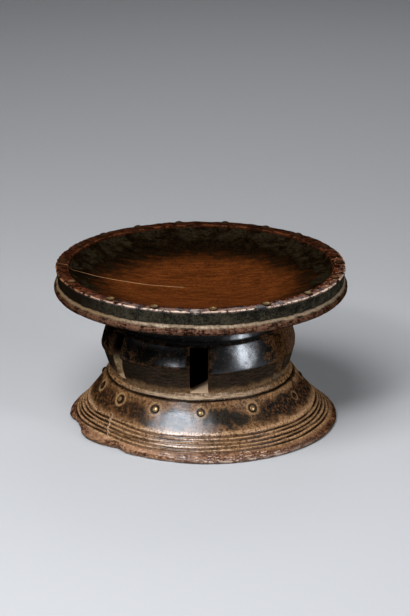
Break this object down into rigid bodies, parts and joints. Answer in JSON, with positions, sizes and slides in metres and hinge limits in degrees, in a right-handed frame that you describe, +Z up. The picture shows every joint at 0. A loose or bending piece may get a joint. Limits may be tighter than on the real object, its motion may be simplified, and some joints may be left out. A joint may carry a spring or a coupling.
{
  "type": "carved wooden stool",
  "caption": "Low round stool carved from one block of dark hardwood: dished seat with a raised rim, slotted ridged waist and flared foot with incised rings, trimmed with brass tacks.",
  "frame": {"origin": "on the floor at the centre of the foot", "axes": "+Z up along the stool's axis, -Y towards the pictured front, +X to the viewer's right"},
  "size_m": [0.3857, 0.3858, 0.2127],
  "materials": {
    "patinated_wood": "dark oiled patina, rubbed to red-brown on the seat and to tan on the foot",
    "aged_brass": "dull, aged"
  },
  "bodies": {
    "root": {"stool_body": "patinated_wood", "rim_tack_01": "aged_brass", "rim_tack_02": "aged_brass", "rim_tack_03": "aged_brass", "rim_tack_04": "aged_brass", "rim_tack_05": "aged_brass", "rim_tack_06": "aged_brass", "rim_tack_07": "aged_brass", "rim_tack_08": "aged_brass", "rim_tack_09": "aged_brass", "rim_tack_10": "aged_brass", "rim_tack_11": "aged_brass", "rim_tack_12": "aged_brass", "rim_tack_13": "aged_brass", "rim_tack_14": "aged_brass", "rim_tack_15": "aged_brass", "rim_tack_16": "aged_brass", "rim_tack_17": "aged_brass", "base_tack_01": "aged_brass", "base_tack_02": "aged_brass", "base_tack_03": "aged_brass", "base_tack_04": "aged_brass", "base_tack_05": "aged_brass", "base_tack_06": "aged_brass", "base_tack_07": "aged_brass", "base_tack_08": "aged_brass", "base_tack_09": "aged_brass", "base_tack_10": "aged_brass", "base_tack_11": "aged_brass", "base_tack_12": "aged_brass"}
  },
  "joints": []
}
